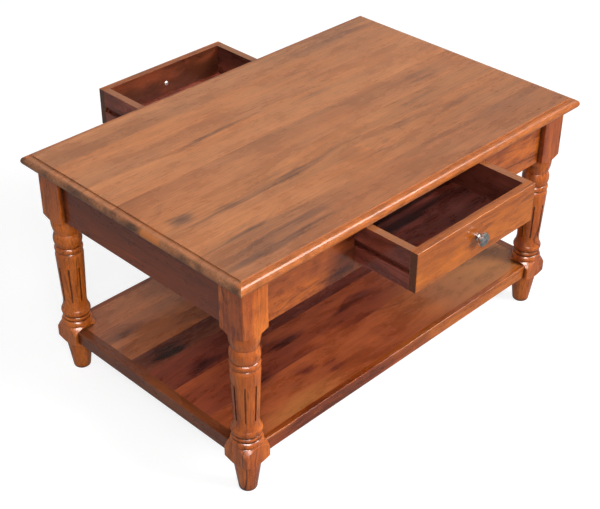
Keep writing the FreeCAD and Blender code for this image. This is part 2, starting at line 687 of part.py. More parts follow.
def drawer(name, face_y, turn, side_labels):
    """Open box on side grooves; local y runs from the front's face back into the table."""
    way = "-" if turn else "+"

    def put(piece, x, y, z, turned=0, tilt=0):
        place(piece, f"{way} ({x})", f"{face_y} {way} ({y})", f"{DRAWER_FOOT} + {z}", turn + turned, tilt)

    inside_width = f"({DRAWER_WIDTH} - 2 * drawer_side_thickness)"
    side_length = f"({DRAWER_LENGTH} - drawer_front_thickness)"
    slot = "drawer_bottom_thickness + 2 * drawer_bottom_fit"
    slot_up = "drawer_bottom_rise - drawer_bottom_fit"

    front = new_piece(f"{name}_front")
    box(front, "Additive", (DRAWER_WIDTH, "drawer_front_thickness", DRAWER_HEIGHT),
        (f"-{DRAWER_WIDTH} / 2", "0", "0"))
    soften(front, "drawer_arris", ("X", "-Y"), ("Z", "-Y"))
    box(front, "Subtractive",
        (f"{inside_width} + 2 * drawer_bottom_groove", "drawer_bottom_groove", slot),
        (f"-{inside_width} / 2 - drawer_bottom_groove",
         "drawer_front_thickness - drawer_bottom_groove", slot_up))
    drill(front, "knob_screw_radius + screw_fit", "drawer_front_thickness",
          ("0", "drawer_front_thickness", f"{DRAWER_HEIGHT} / 2"), tilt=90)
    put(front, "0", "0", "0")

    for label, sign, turned in zip(side_labels, ("-", ""), (0, 180)):
        side = new_piece(f"{name}_{label}_side")
        box(side, "Additive", ("drawer_side_thickness", side_length, DRAWER_HEIGHT),
            ("0", f"-{side_length} / 2", "0"))
        soften(side, "drawer_arris / 2", ("Y", "+Z"))
        box(side, "Subtractive", ("drawer_bottom_groove", side_length, slot),
            ("drawer_side_thickness - drawer_bottom_groove", f"-{side_length} / 2", slot_up))
        box(side, "Subtractive",
            ("runner_depth - drawer_side_gap + runner_end_gap", side_length,
             "runner_thickness + 2 * runner_fit"),
            ("0", f"-{side_length} / 2", "runner_height - runner_fit"))
        put(side, f"{sign}{DRAWER_WIDTH} / 2", f"drawer_front_thickness + {side_length} / 2", "0", turned)

    back = new_piece(f"{name}_back")
    box(back, "Additive", (inside_width, "drawer_back_thickness", DRAWER_HEIGHT),
        (f"-{inside_width} / 2", "-drawer_back_thickness", "0"))
    soften(back, "drawer_arris / 2", ("X", "+Z"))
    box(back, "Subtractive", (inside_width, "drawer_bottom_groove", slot),
        (f"-{inside_width} / 2", "-drawer_back_thickness", slot_up))
    put(back, "0", DRAWER_LENGTH, "0")

    bottom = new_piece(f"{name}_bottom")
    inside_length = f"({side_length} - drawer_back_thickness)"
    tuck = "(drawer_bottom_groove - drawer_bottom_fit)"
    box(bottom, "Additive",
        (f"{inside_width} + 2 * {tuck}", f"{inside_length} + 2 * {tuck}", "drawer_bottom_thickness"),
        (f"-{inside_width} / 2 - {tuck}", f"-{tuck}", "0"))
    put(bottom, "0", "drawer_front_thickness", "drawer_bottom_rise")

    middle = f"{DRAWER_HEIGHT} / 2"
    put(knob(f"{name}_knob"), "0", "0", middle, tilt=90)
    screw_back = "drawer_front_thickness + knob_screw_head_height"
    put(knob_screw(f"{name}_knob_screw"), "0", screw_back, middle, tilt=90)


table_top()

leg("front_left_leg", f"-{LEG_X}", f"-{LEG_Y}", 0)
leg("front_right_leg", LEG_X, f"-{LEG_Y}", 90)
leg("rear_right_leg", LEG_X, LEG_Y, 180)
leg("rear_left_leg", f"-{LEG_X}", LEG_Y, 270)

end_apron("left_end_apron", f"apron_thickness / 2 - {APRON_X}")
end_apron("right_end_apron", f"{APRON_X} - apron_thickness / 2")
FRONT_BOARD_Y = f"apron_thickness / 2 - {APRON_Y}"
REAR_BOARD_Y = f"{APRON_Y} - apron_thickness / 2"
side_apron("front_left_apron", "-drawer_opening / 2", FRONT_BOARD_Y, 180)
side_apron("front_right_apron", "drawer_opening / 2", FRONT_BOARD_Y, 0)
side_apron("rear_left_apron", "-drawer_opening / 2", REAR_BOARD_Y, 180)
side_apron("rear_right_apron", "drawer_opening / 2", REAR_BOARD_Y, 0)
drawer_rail("front_drawer_rail", FRONT_BOARD_Y)
drawer_rail("rear_drawer_rail", REAR_BOARD_Y)

cheek("left_drawer_cheek", "-drawer_opening / 2", 0)
cheek("right_drawer_cheek", "drawer_opening / 2", 180)
runner("front_left_runner", "-drawer_opening / 2", f"-{RUNNER_Y}", 0)
runner("front_right_runner", "drawer_opening / 2", f"-{RUNNER_Y}", 180)
runner("rear_left_runner", "-drawer_opening / 2", RUNNER_Y, 0)
runner("rear_right_runner", "drawer_opening / 2", RUNNER_Y, 180)
runner_screw_spots = []
for hand, points in (("-", -90), ("", 90)):
    for end in ("-", ""):
        for way in ("-", "+"):
            runner_screw_spots.append((
                f"{hand}(drawer_opening / 2 - runner_depth)",
                f"{end}{RUNNER_Y} {way} {RUNNER_SCREW_Y}",
                f"{RUNNER_Z} + runner_thickness / 2",
                points, 90))
wood_screws("runner_screws", "runner_depth", runner_screw_spots)
drawer_stop()

for block_name, block_x, block_y, block_turn in TOP_BLOCKS:
    top_block(block_name, block_x, block_y, block_turn)
block_foot = f"{UNDERSIDE} - block_section"
wood_screws("top_screws", "block_section", [(x, y, block_foot, 0, 0) for _, x, y, _ in TOP_BLOCKS])

shelf_edge("front_shelf_lipping", "0", f"-{SHELF_Y}", 0, BETWEEN_LEGS_X, "lipping_width", False)
shelf_edge("rear_shelf_lipping", "0", SHELF_Y, 180, BETWEEN_LEGS_X, "lipping_width", False)
shelf_edge("left_shelf_cleat", f"-{SHELF_X}", "0", -90, BETWEEN_LEGS_Y, "cleat_width", True)
shelf_edge("right_shelf_cleat", SHELF_X, "0", 90, BETWEEN_LEGS_Y, "cleat_width", True)
for board_number in range(1, BOARDS + 1):
    shelf_board(board_number)

drawer("front_drawer", f"-({APRON_Y} + front_drawer_pull)", 0, ("left", "right"))
drawer("rear_drawer", f"({APRON_Y} + rear_drawer_pull)", 180, ("right", "left"))

doc.recompute()
for thing in doc.Objects:
    if "Invalid" in thing.State or "Error" in thing.State:
        raise RuntimeError(f"{thing.Label} did not build: {thing.State}")
os.makedirs("parts", exist_ok=True)
for piece in pieces:
    if piece.Shape.isNull() or not piece.Shape.isValid():
        raise RuntimeError(f"{piece.Label} has no valid shape")
    piece.Shape.exportStep(f"parts/{piece.Label}.step")
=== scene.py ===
import math

import bpy
from mathutils import Euler, Matrix, Vector


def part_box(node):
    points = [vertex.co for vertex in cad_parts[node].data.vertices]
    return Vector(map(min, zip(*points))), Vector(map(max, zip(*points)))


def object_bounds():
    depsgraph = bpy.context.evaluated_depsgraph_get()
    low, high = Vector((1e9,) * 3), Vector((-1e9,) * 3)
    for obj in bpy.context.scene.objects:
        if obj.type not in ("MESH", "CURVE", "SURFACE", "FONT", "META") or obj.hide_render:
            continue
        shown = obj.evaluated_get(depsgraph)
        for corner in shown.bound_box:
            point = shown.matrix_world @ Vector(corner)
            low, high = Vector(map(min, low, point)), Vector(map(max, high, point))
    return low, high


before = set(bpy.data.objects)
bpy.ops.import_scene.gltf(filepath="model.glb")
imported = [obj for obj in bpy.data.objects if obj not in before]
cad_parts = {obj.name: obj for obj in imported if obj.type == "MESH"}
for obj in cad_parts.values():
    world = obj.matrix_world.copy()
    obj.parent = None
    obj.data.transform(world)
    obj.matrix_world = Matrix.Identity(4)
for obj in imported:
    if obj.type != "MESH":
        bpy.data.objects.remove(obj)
cad_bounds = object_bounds()


# Legs
# Each leg is one square blank of hardwood, turned on a lathe between its two blocks and below the
# lower one, with eight narrow flutes cut into the shaft. It is stained, rubbed back and lacquered.

LEGS = ("front_left_leg", "front_right_leg", "rear_left_leg", "rear_right_leg")
# Light, middle and dark tone of the stain.
LEG_STAINS = ((0.71, 0.174, 0.021), (0.28, 0.047, 0.009), (0.040, 0.008, 0.004))
# Place in the grain that the legs are cut from (m): the step along it from leg to leg, then across.
LEG_CUT = (0.7, 0.2, 0.1)
# Patches of painted shade (+) and painted light (-) on each leg, with some dark figure: centre, reach (m)
# and amount. The near leg is darker on its left side and lighter on its front, the right leg darker on its
# left side, and the rear left leg lighter all over.
LEG_LIGHT_AND_SHADE_PATCHES = {
    "front_left_leg": [
        ((-0.435, -0.235, 0.38), (0.024, 0.05, 0.15), 1.05),
        ((-0.425, -0.240, 0.20), (0.022, 0.05, 0.16), 0.6),
        ((-0.42, -0.26, 0.03), (0.05, 0.05, 0.09), 0.4),
        ((-0.385, -0.275, 0.38), (0.04, 0.025, 0.12), -0.9),
        ((-0.380, -0.268, 0.20), (0.03, 0.025, 0.16), -0.8),
    ],
    "front_right_leg": [
        ((0.37, -0.235, 0.25), (0.024, 0.05, 0.30), 0.8),
        ((0.40, -0.27, 0.41), (0.06, 0.05, 0.14), 0.6),
        ((0.40, -0.27, 0.20), (0.06, 0.05, 0.16), 0.35),
    ],
    "rear_left_leg": [
        ((-0.42, 0.215, 0.22), (0.07, 0.07, 0.26), -0.9),
    ],
}


def feed(tree, node, inputs):
    """Gives each input a plain value, a colour of three numbers, or the socket that feeds it."""
    for name, value in inputs.items():
        socket = node.inputs[name]
        if isinstance(value, bpy.types.NodeSocket):
            tree.links.new(value, socket)
        elif socket.type == "RGBA":
            socket.default_value = (*value, 1)
        else:
            socket.default_value = value


def put(tree, kind, inputs=None, **settings):
    """New shader node with its settings and inputs."""
    node = tree.nodes.new("ShaderNode" + kind)
    for name, value in settings.items():
        setattr(node, name, value)
    feed(tree, node, inputs or {})
    return node


def chain(tree, operation, values):
    """Values added or multiplied together, one after the other."""
    total = values[0]
    for value in values[1:]:
        total = put(tree, "Math", {0: total, 1: value}, operation=operation).outputs[0]
    return total


def sum_of(tree, *values):
    return chain(tree, "ADD", values)


def product(tree, *values):
    return chain(tree, "MULTIPLY", values)


def ease(tree, value, low, high, to_low=0.0, to_high=1.0):
    """Smooth step between two limits, brought to another pair of limits."""
    limits = {"Value": value, "From Min": low, "From Max": high, "To Min": to_low, "To Max": to_high}
    return put(tree, "MapRange", limits, interpolation_type="SMOOTHSTEP").outputs["Result"]


def blend(tree, share, below, above, mode="MIX"):
    """Colour over another colour, by a share."""
    colours = {"Factor": share, 6: below, 7: above}
    return put(tree, "Mix", colours, data_type="RGBA", blend_type=mode).outputs[2]


def tone(tree, colour, value):
    """Colour made lighter or darker by a value round 1."""
    grey = put(tree, "CombineColor", {"Red": value, "Green": value, "Blue": value}).outputs[0]
    return blend(tree, 1.0, colour, grey, "MULTIPLY")


def vector_math(tree, operation, *vectors):
    return put(tree, "VectorMath", dict(enumerate(vectors)), operation=operation).outputs


def moved(tree, place, offset):
    return vector_math(tree, "ADD", place, offset)["Vector"]


def grain_noise(tree, place, swells, detail, roughness=0.55):
    """Noise with so many swells to the metre along and across the grain."""
    along, across = swells
    scaled = vector_math(tree, "MULTIPLY", place, (along, across, across))["Vector"]
    settings = {"Vector": scaled, "Scale": 1.0, "Detail": detail, "Roughness": roughness}
    return put(tree, "TexNoise", settings).outputs[0]


# Limits that most values of a noise lie between, and that nearly all do.
NOISE_LIMITS = (0.3, 0.7)
WIDE_NOISE_LIMITS = (0.2, 0.8)


def wavering(tree, place, swells, detail, reach):
    """Place pushed to and fro across the grain by up to reach (m)."""
    push = ease(tree, grain_noise(tree, place, swells, detail), *WIDE_NOISE_LIMITS, -reach, reach)
    return moved(tree, place, put(tree, "CombineXYZ", {"Y": push, "Z": push}).outputs[0])


def new_group(name, inputs, outputs):
    """Empty node group; inputs and outputs are (name, kind). Gives its tree, its inputs and its end."""
    group = bpy.data.node_groups.new(name, "ShaderNodeTree")
    for sockets, way in ((inputs, "INPUT"), (outputs, "OUTPUT")):
        for socket_name, kind in sockets:
            group.interface.new_socket(socket_name, in_out=way, socket_type=f"NodeSocket{kind}")
    given = group.nodes.new("NodeGroupInput").outputs
    result = group.nodes.new("NodeGroupOutput")
    return group, given, result


# Share of each mark of the wood in the colour, where the mark is strongest.
STRIPE_SHARE = 0.7
FLAME_SHARE = 0.4
FLECK_SHARE = 0.5
PORE_SHARE = 0.5
SHADED_SHARE = 0.85
# Shade that draws the wood all the way to Middle, or below 0 to Light.
FULL_SHADE = 0.8
# Growth rings in the whole range of the noise that lays them out.
RING_COUNT = 15.0
# How far the clouded figure swings red, green and blue.
CLOUD_SWING = (0.9, 1.15, 1.25)
# Roughness of the lacquer from the glossiest place to the dullest, and what a pore adds to it.
LACQUER_ROUGHNESS = (0.24, 0.33)
PORE_ROUGHNESS = 0.18
# Height of a fibre and depth of a pore, as shares of the depth of the bump.
FIBRE_HEIGHT = 0.4
PORE_DEPTH = 0.6


def wood_grain_group():
    """Stained hardwood with its grain along x, place in metres.

    Broad bands go from Light to Middle; thin contour lines, flecks and pores are Dark. Mottle is the
    strength of the clouded figure. Shade draws the wood to Middle and on to Dark, or below 0 to Light.
    """
    tree, given, result = new_group(
        "wood grain",
        [("Vector", "Vector"), ("Light", "Color"), ("Middle", "Color"), ("Dark", "Color"),
         ("Bands", "Float"), ("Lines", "Float"), ("Mottle", "Float"), ("Shade", "Float")],
        [("Color", "Color"), ("Height", "Float"), ("Roughness", "Float")])
    straight = given["Vector"]
    place = wavering(tree, straight, swells=(2.6, 6.0), detail=2.0, reach=0.014)
    broad = grain_noise(tree, place, swells=(0.9, 13.0), detail=3.0, roughness=0.5)
    narrow = grain_noise(tree, place, swells=(1.4, 62.0), detail=4.0, roughness=0.6)
    tongues = grain_noise(tree, place, swells=(2.2, 26.0), detail=4.0, roughness=0.6)
    growth = grain_noise(tree, place, swells=(0.8, 6.5), detail=1.0, roughness=0.4)
    spread = grain_noise(tree, place, swells=(3.0, 9.0), detail=2.0)
    dashes = grain_noise(tree, place, swells=(17.0, 240.0), detail=2.0)
    blotch = grain_noise(tree, place, swells=(9.0, 24.0), detail=6.0, roughness=0.70)
    fibres = grain_noise(tree, straight, swells=(8.0, 430.0), detail=3.0)
    pricks = grain_noise(tree, straight, swells=(34.0, 1000.0), detail=1.0)

    bands = product(tree, ease(tree, broad, low=0.36, high=0.68), given["Bands"])
    stripes = product(tree, ease(tree, narrow, low=0.42, high=0.74, to_high=STRIPE_SHARE), given["Lines"])
    shade = product(tree, given["Shade"], ease(tree, narrow, *NOISE_LIMITS, to_low=0.45, to_high=1.45))
    flames = product(tree, ease(tree, tongues, low=0.58, high=0.76), given["Lines"], FLAME_SHARE)
    phase = put(tree, "Math", {0: product(tree, growth, RING_COUNT)}, operation="FRACT").outputs[0]
    ring_edge = product(tree, ease(tree, phase, low=0.86, high=0.98), ease(tree, phase, low=1.0, high=0.985))
    lines = product(tree, ring_edge, ease(tree, spread, low=0.46, high=0.62), given["Lines"])
    flecks = product(tree, ease(tree, dashes, low=0.56, high=0.72), given["Lines"], FLECK_SHARE)
    pores = ease(tree, pricks, low=0.60, high=0.70)

    colour = blend(tree, bands, given["Light"], given["Middle"])
    colour = blend(tree, stripes, colour, given["Middle"])
    colour = blend(tree, ease(tree, shade, low=0.0, high=-FULL_SHADE), colour, given["Light"])
    colour = blend(tree, ease(tree, shade, low=0.0, high=FULL_SHADE), colour, given["Middle"])
    shaded = ease(tree, shade, low=0.6, high=1.3, to_high=SHADED_SHARE)
    for mark in (shaded, flames, lines, flecks):
        colour = blend(tree, mark, colour, given["Dark"])
    colour = tone(tree, colour, ease(tree, fibres, low=0.28, high=0.72, to_low=0.86, to_high=1.12))
    cloud = product(tree, ease(tree, blotch, *NOISE_LIMITS, to_low=-0.5, to_high=0.5), given["Mottle"])
    red, green, blue = (sum_of(tree, product(tree, cloud, swing), 1.0) for swing in CLOUD_SWING)
    clouds = put(tree, "CombineColor", {"Red": red, "Green": green, "Blue": blue}).outputs[0]
    colour = blend(tree, 1.0, colour, clouds, "MULTIPLY")
    colour = blend(tree, product(tree, pores, PORE_SHARE), colour, given["Dark"])

    height = sum_of(tree, product(tree, fibres, FIBRE_HEIGHT), product(tree, pores, -PORE_DEPTH))
    gloss = ease(tree, blotch, *NOISE_LIMITS, *LACQUER_ROUGHNESS)
    roughness = sum_of(tree, gloss, product(tree, pores, PORE_ROUGHNESS))
    feed(tree, result, {"Color": colour, "Height": height, "Roughness": roughness})
    return tree


# Rays that a mask of arrises or recesses is measured with at each point.
MASK_SAMPLES = 8


def arris_mask_group():
    """Mask of arrises where sanding and hands rubbed the stain thin, and on wood a painted highlight."""
    tree, given, result = new_group(
        "arris mask", [("Vector", "Vector"), ("Width", "Float")], [("Mask", "Float")])
    rounded = put(tree, "Bevel", {"Radius": given["Width"]}, samples=MASK_SAMPLES).outputs[0]
    face = put(tree, "NewGeometry").outputs["Normal"]
    agree = vector_math(tree, "DOT_PRODUCT", rounded, face)["Value"]
    touched = grain_noise(tree, given["Vector"], swells=(45.0, 45.0), detail=3.0)
    # Never below a quarter, so each arris stays a light line: wear, and a painted highlight.
    wear_and_highlight = ease(tree, touched, low=0.30, high=0.65, to_low=0.25)
    feed(tree, result, {"Mask": product(tree, ease(tree, agree, low=0.985, high=0.88), wear_and_highlight)})
    return tree


def recess_mask_group(name, own_piece):
    """Mask of recesses, of the piece alone or of joints too: stain that pools and painted shade on wood."""
    tree, given, result = new_group(name, [("Reach", "Float")], [("Mask", "Float")])
    openness = put(tree, "AmbientOcclusion", {"Distance": given["Reach"]}, samples=MASK_SAMPLES,
                   only_local=own_piece).outputs["AO"]
    feed(tree, result, {"Mask": ease(tree, openness, low=0.93, high=0.46)})
    return tree


def soft_patch_group():
    """Oval patch that fades from Amount in the middle to nothing at its reach."""
    tree, given, result = new_group(
        "soft patch",
        [("Vector", "Vector"), ("Centre", "Vector"), ("Reach", "Vector"), ("Amount", "Float")],
        [("Amount", "Float")])
    offset = vector_math(tree, "SUBTRACT", given["Vector"], given["Centre"])["Vector"]
    share = vector_math(tree, "DIVIDE", offset, given["Reach"])["Vector"]
    distance = vector_math(tree, "LENGTH", share)["Value"]
    fading = ease(tree, distance, low=1.0, high=0.0)
    feed(tree, result, {"Amount": product(tree, fading, given["Amount"])})
    return tree


WOOD_GRAIN = wood_grain_group()
ARRIS_MASK = arris_mask_group()
JOINT_RECESS_MASK = recess_mask_group("recess mask with joints", own_piece=False)
SOFT_PATCH = soft_patch_group()


def use(tree, group, **inputs):
    """Places a node group in a tree and gives its outputs."""
    return put(tree, "Group", inputs, node_tree=group).outputs


def new_finish(name):
    """Empty material, its node tree and its Principled shader."""
    material = bpy.data.materials.new(name)
    material.use_nodes = True
    tree = material.node_tree
    return material, tree, tree.nodes["Principled BSDF"]


def object_place(tree):
    return put(tree, "TexCoord").outputs["Object"]


def figure(tree, place, patches):
    """Sum of dark (+) and light (-) patches, each (centre, reach, amount), with ragged ends."""
    ragged = wavering(tree, place, swells=(7.0, 40.0), detail=3.0, reach=0.012)
    amounts = [use(tree, SOFT_PATCH, Vector=ragged, Centre=centre, Reach=reach, Amount=amount)["Amount"]
               for centre, reach, amount in patches]
    return sum_of(tree, *amounts)


GRAIN_TURN = {"X": (0, 0, 0), "Y": (0, 0, -math.pi / 2), "Z": (0, math.pi / 2, 0)}


def plank(name, axis, cut, stains, patches=(), bands=0.85, lines=0.45, mottle=0.4):
    """New material with stained grain along an axis; gives its tree, shader, place and grain too.

    cut is the place in the grain that the piece is cut from, stains are its light, middle and dark
    tones, and patches its own dark and light figure, which on the legs, aprons and shelf holds painted
    light and shade.
    """
    material, tree, shader = new_finish(name)
    turned = {"Vector": object_place(tree), "Location": cut, "Rotation": GRAIN_TURN[axis]}
    place = put(tree, "Mapping", turned).outputs[0]
    light, middle, dark = stains
    shade = figure(tree, object_place(tree), patches) if patches else 0.0
    grain = use(tree, WOOD_GRAIN, Vector=place, Light=light, Middle=middle, Dark=dark,
                Bands=bands, Lines=lines, Mottle=mottle, Shade=shade)
    return material, tree, shader, place, grain


# Strength of the bump and the depth (m) that it shows.
BUMP_STRENGTH = 0.35
BUMP_DEPTH = 0.00012
COAT_ROUGHNESS = 0.08


def lacquer(tree, shader, colour, grain, specular, coat):
    """Clear semi-gloss lacquer over stained wood whose pores still show."""
    bump = put(tree, "Bump", {"Strength": BUMP_STRENGTH, "Distance": BUMP_DEPTH, "Height": grain["Height"]})
    feed(tree, shader, {
        "Base Color": colour, "Roughness": grain["Roughness"], "Normal": bump.outputs[0],
        "Specular IOR Level": specular, "Coat Weight": coat, "Coat Roughness": COAT_ROUGHNESS})


# Reach of the stain and painted shade into a recess and width of a rubbed arris (m).
RECESS_REACH = 0.013
ARRIS_WIDTH = 0.0022
# Share and tone of recess dark (stain and painted shade) and of arris light (wear and painted highlight).
STAIN_AND_SHADE_SHARE = 0.85
STAIN_AND_SHADE_TONE = 0.35
THINNED_AND_LIT_SHARE = 0.4
THINNED_AND_LIT_TONE = 1.25


def seal(tree, shader, colour, place, grain, stains, recesses=JOINT_RECESS_MASK):
    """Stain and painted shade in the recesses, a painted highlight on rubbed arrises, and the lacquer over
    them.
    """
    light, _, dark = stains
    # Recesses and joints darkened: stain that pools there, and painted shade.
    stain_and_shade_mask = use(tree, recesses, Reach=RECESS_REACH)["Mask"]
    stain_and_shade_colour = tuple(part * STAIN_AND_SHADE_TONE for part in dark)
    colour = blend(tree, product(tree, stain_and_shade_mask, STAIN_AND_SHADE_SHARE), colour, stain_and_shade_colour)
    # Arrises lightened: stain rubbed thin, and a painted highlight.
    rubbed = use(tree, ARRIS_MASK, Vector=place, Width=ARRIS_WIDTH)["Mask"]
    thinned_and_lit = tuple(part * THINNED_AND_LIT_TONE for part in light)
    colour = blend(tree, product(tree, rubbed, THINNED_AND_LIT_SHARE), colour, thinned_and_lit)
    lacquer(tree, shader, colour, grain, specular=0.35, coat=0.45)


def stained(name, axis, cut, stains, recesses=JOINT_RECESS_MASK, **figured):
    """Material of one plain stained and lacquered piece."""
    material, tree, shader, place, grain = plank(name, axis, cut, stains, **figured)
    seal(tree, shader, grain["Color"], place, grain, stains, recesses)
    return material


def dress(piece, material):
    """Gives a solid of the frame its finish."""
    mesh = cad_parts[piece].data
    mesh.materials.clear()
    mesh.materials.append(material)


def dress_each(pieces, axis, cut, stains, patches=None, **figured):
    """Gives like pieces their finish, each cut from a place one step further along the grain."""
    step, *across = cut
    for number, piece in enumerate(pieces):
        own_patches = (patches or {}).get(piece, ())
        own_cut = (step * number, *across)
        dress(piece, stained(f"{piece} finish", axis, own_cut, stains, patches=own_patches, **figured))


dress_each(LEGS, "Z", LEG_CUT, LEG_STAINS, LEG_LIGHT_AND_SHADE_PATCHES, bands=0.7, lines=0.95, mottle=0.55)


# Aprons and drawer rails
# Hardwood boards on edge, tenoned into the legs under the top. The long sides have a panel on each
# side of the drawer, and a thin rail runs below the drawer between the two panels.

SIDE_BOARDS = ("front_left_apron", "front_right_apron", "rear_left_apron", "rear_right_apron",
               "front_drawer_rail", "rear_drawer_rail")
SIDE_STAINS = ((0.46, 0.103, 0.011), (0.20, 0.038, 0.008), (0.045, 0.009, 0.005))
SIDE_CUT = (0.4, 0.3, 0.2)
SIDE_PATCHES = {
    # Painted shadow of the drawer on the apron beside it, with dark figure: centre, reach (m) and amount.
    "front_left_apron": [
        ((-0.165, -0.26, 0.40), (0.10, 0.2, 0.12), 1.15),
    ],
    "front_right_apron": [
        ((0.25, -0.26, 0.43), (0.05, 0.2, 0.03), 0.7),
        ((0.33, -0.26, 0.40), (0.05, 0.2, 0.05), -0.7),
    ],
}
END_BOARDS = ("left_end_apron", "right_end_apron")
# Stain of the end aprons, darker than on the long sides; part of that is painted shade, taken from the left
# end, which faces away from the key lamp.
END_STAINS = ((0.26, 0.045, 0.006), (0.125, 0.022, 0.005), (0.04, 0.010, 0.005))
END_CUT = (0.4, 0.6, 0.2)

dress_each(SIDE_BOARDS, "X", SIDE_CUT, SIDE_STAINS, SIDE_PATCHES, lines=0.7, mottle=1.15)
dress_each(END_BOARDS, "Y", END_CUT, END_STAINS)


# Shelf
# Eight boards of mixed colour, laid lengthwise and tongued into a cleat at each end, with a narrow
# lipping along the front and rear. Cleats and lippings are tenoned into the lower blocks of the legs.

SHELF_DARK = (0.045, 0.012, 0.006)
LIPPINGS = ("front_shelf_lipping", "rear_shelf_lipping")
LIPPING_STAINS = ((0.50, 0.130, 0.016), (0.25, 0.042, 0.006), SHELF_DARK)
LIPPING_CUT = (0.5, 0.1, 0.4)
# Painted shade (+) over the left of the front lipping and painted light (-) on its right, where the lamp
# falls: centre, reach (m) and amount.
LIPPING_LIGHT_AND_SHADE = {
    "front_shelf_lipping": [
        ((-0.20, -0.255, 0.09), (0.50, 0.1, 0.2), 0.8),
        ((0.36, -0.255, 0.09), (0.30, 0.1, 0.2), -0.8),
    ],
}
CLEATS = ("left_shelf_cleat", "right_shelf_cleat")
CLEAT_STAINS = ((0.31, 0.080, 0.020), (0.17, 0.042, 0.014), SHELF_DARK)
CLEAT_CUT = (0.5, 0.7, 0.4)
# Light, middle and dark stain of each board, from the front; the fourth and fifth, deep under the table,
# are darker, partly as painted shade.
SHELF_RED_DARK = (0.050, 0.012, 0.010)
SHELF_GREY_DARK = (0.032, 0.022, 0.018)
SHELF_BOARDS = [
    ((0.44, 0.100, 0.030), (0.22, 0.042, 0.019), SHELF_RED_DARK),
    ((0.38, 0.080, 0.026), (0.19, 0.036, 0.018), SHELF_RED_DARK),
    ((0.38, 0.080, 0.026), (0.18, 0.035, 0.018), SHELF_RED_DARK),
    ((0.22, 0.046, 0.024), (0.11, 0.023, 0.016), SHELF_RED_DARK),
    ((0.28, 0.082, 0.038), (0.11, 0.030, 0.019), SHELF_GREY_DARK),
    ((0.46, 0.142, 0.050), (0.25, 0.076, 0.032), SHELF_GREY_DARK),
    ((0.50, 0.163, 0.060), (0.31, 0.100, 0.044), SHELF_GREY_DARK),
    ((0.66, 0.215, 0.072), (0.47, 0.148, 0.053), SHELF_GREY_DARK),
]
# Step in the grain from board to board, along and across it, and the depth of the cut (m).
SHELF_STEP_ALONG = 0.61
SHELF_STEP_ACROSS = 0.13
SHELF_CUT_DEPTH = 0.2
# Dark (+) and light (-) figure of the shelf: middle x, y and half length, half width (m), amount. The dark
# patches deep under the table are partly painted shade, and the light ones toward the front right partly
# painted light.
SHELF_FIGURE_LIGHT_AND_SHADE = [
    (-0.165, -0.092, 0.080, 0.034, 1.4),
    (-0.192, -0.175, 0.045, 0.022, 1.3),
    (-0.146, -0.205, 0.040, 0.022, 1.2),
    (0.057, -0.096, 0.070, 0.026, 1.1),
    (-0.009, -0.103, 0.060, 0.022, 1.0),
    (-0.268, -0.140, 0.070, 0.036, 0.9),
    (-0.334, 0.052, 0.080, 0.030, 1.6),
    (-0.314, -0.033, 0.060, 0.022, 1.3),
    (-0.180, -0.020, 0.120, 0.040, 0.8),
    (-0.180, 0.090, 0.140, 0.030, 0.9),
    (-0.363, 0.156, 0.080, 0.024, 0.9),
    (0.254, -0.211, 0.060, 0.040, 0.6),
    (-0.093, -0.137, 0.120, 0.022, -0.7),
    (0.120, -0.217, 0.140, 0.034, -0.7),
    (0.330, -0.130, 0.120, 0.070, -0.7),
    (-0.380, 0.100, 0.050, 0.024, -0.6),
]
# Golden brown of the painted light on the shelf.
SHELF_LIT_COLOUR = (0.47, 0.172, 0.047)
# Middle x, y, half length, half width (m) and share of the golden places of the shelf: painted light.
SHELF_LIT_PLACES = [
    (0.33, -0.20, 0.34, 0.17, 1.0),
    (-0.27, -0.245, 0.16, 0.055, 0.70),
]
# Half height of a patch on a level face (m), more than any board is thick.
PATCH_HALF_HEIGHT = 0.2


def level_patches(rows, level):
    """Patches on a level face, from rows of middle x, y, half length, half width and amount."""
    return [((x, y, level), (length, width, PATCH_HALF_HEIGHT), amount)
            for x, y, length, width, amount in rows]


def shelf_board_finish(board, cut, stains):
    """Stained board, with painted light in golden brown near the front, where the most light falls."""
    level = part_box(board)[1].z
    patches = level_patches(SHELF_FIGURE_LIGHT_AND_SHADE, level)
    material, tree, shader, place, grain = plank(
        f"{board} finish", "X", cut, stains, patches, lines=0.5, mottle=0.55)
    painted_light = figure(tree, object_place(tree), level_patches(SHELF_LIT_PLACES, level))
    clouded = ease(tree, grain["Roughness"], *LACQUER_ROUGHNESS, to_low=0.75, to_high=1.15)
    # Painted light: the golden places where the lamps fall most on the shelf.
    colour = blend(tree, painted_light, grain["Color"], tone(tree, SHELF_LIT_COLOUR, clouded))
    seal(tree, shader, colour, place, grain, stains)
    return material


dress_each(LIPPINGS, "X", LIPPING_CUT, LIPPING_STAINS, LIPPING_LIGHT_AND_SHADE, mottle=0.6)
dress_each(CLEATS, "Y", CLEAT_CUT, CLEAT_STAINS)
for number, stains in enumerate(SHELF_BOARDS, start=1):
    board = f"shelf_board_{number}"
    cut = (SHELF_STEP_ALONG * number, SHELF_STEP_ACROSS * number, SHELF_CUT_DEPTH)
    dress(board, shelf_board_finish(board, cut, stains))


# Drawer case
# Plain planed boards inside the table: cheeks beside the drawers, runners screwed to the cheeks,
# the stop across the middle and the glue blocks that carry the top's screws.

CASE_STAINS = ((0.40, 0.20, 0.085), (0.25, 0.11, 0.045), (0.09, 0.04, 0.018))
CASE_CUT = (0.9, 0.4, 0.1)
# Pieces of the case by the axis that their grain runs along.
CASE_PIECES = {
    "X": ("drawer_stop", "front_left_top_block", "front_right_top_block", "rear_left_top_block",
          "rear_right_top_block"),
    "Y": ("left_drawer_cheek", "right_drawer_cheek", "front_left_runner", "front_right_runner",
          "rear_left_runner", "rear_right_runner", "left_top_block", "right_top_block"),
}
for axis, pieces in CASE_PIECES.items():
    case_wood = stained(f"case wood along {axis}", axis, CASE_CUT, CASE_STAINS)
    for piece in pieces:
        dress(piece, case_wood)


